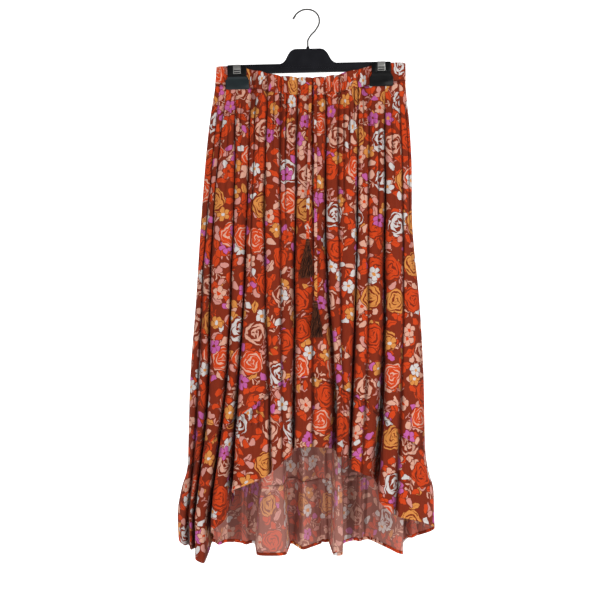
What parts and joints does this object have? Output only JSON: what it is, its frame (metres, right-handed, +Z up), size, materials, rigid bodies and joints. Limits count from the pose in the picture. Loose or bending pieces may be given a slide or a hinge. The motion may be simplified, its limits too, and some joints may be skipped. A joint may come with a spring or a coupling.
{
  "type": "maxi skirt on a clip hanger",
  "caption": "Long floral viscose skirt with elastic waist, high-low gathered flounce and tasselled ties, clamped in a black clip hanger.",
  "frame": {"origin": "top of the space inside the hook, where the hook rests on a rail", "axes": "+Z up along the hook and the skirt, +Y from the skirt's front to its back, +X to the right seen from the front"},
  "size_m": [0.564, 0.1732, 1.2078],
  "materials": {
    "printed_viscose": "soft matt crepe viscose, dense floral print in chestnut, orange-red, tan, pink and off-white",
    "tassel_yarn": "matt chocolate-brown yarn",
    "black_plastic": "moulded black plastic with a faint sheen",
    "bent_steel": "bright plated steel"
  },
  "bodies": {
    "root": {"waistband_front": "printed_viscose", "waistband_back": "printed_viscose", "front_panel": "printed_viscose", "back_panel": "printed_viscose", "front_ruffle": "printed_viscose", "back_ruffle": "printed_viscose", "drawstring_left": "printed_viscose", "drawstring_right": "printed_viscose", "tassel_left": "tassel_yarn", "tassel_right": "tassel_yarn", "hanger_bar": "black_plastic", "hanger_hook": "bent_steel", "clip_left_jaw_front": "black_plastic", "clip_left_jaw_back": "black_plastic", "clip_left_spring": "bent_steel", "clip_right_jaw_front": "black_plastic", "clip_right_jaw_back": "black_plastic", "clip_right_spring": "bent_steel"}
  },
  "joints": []
}
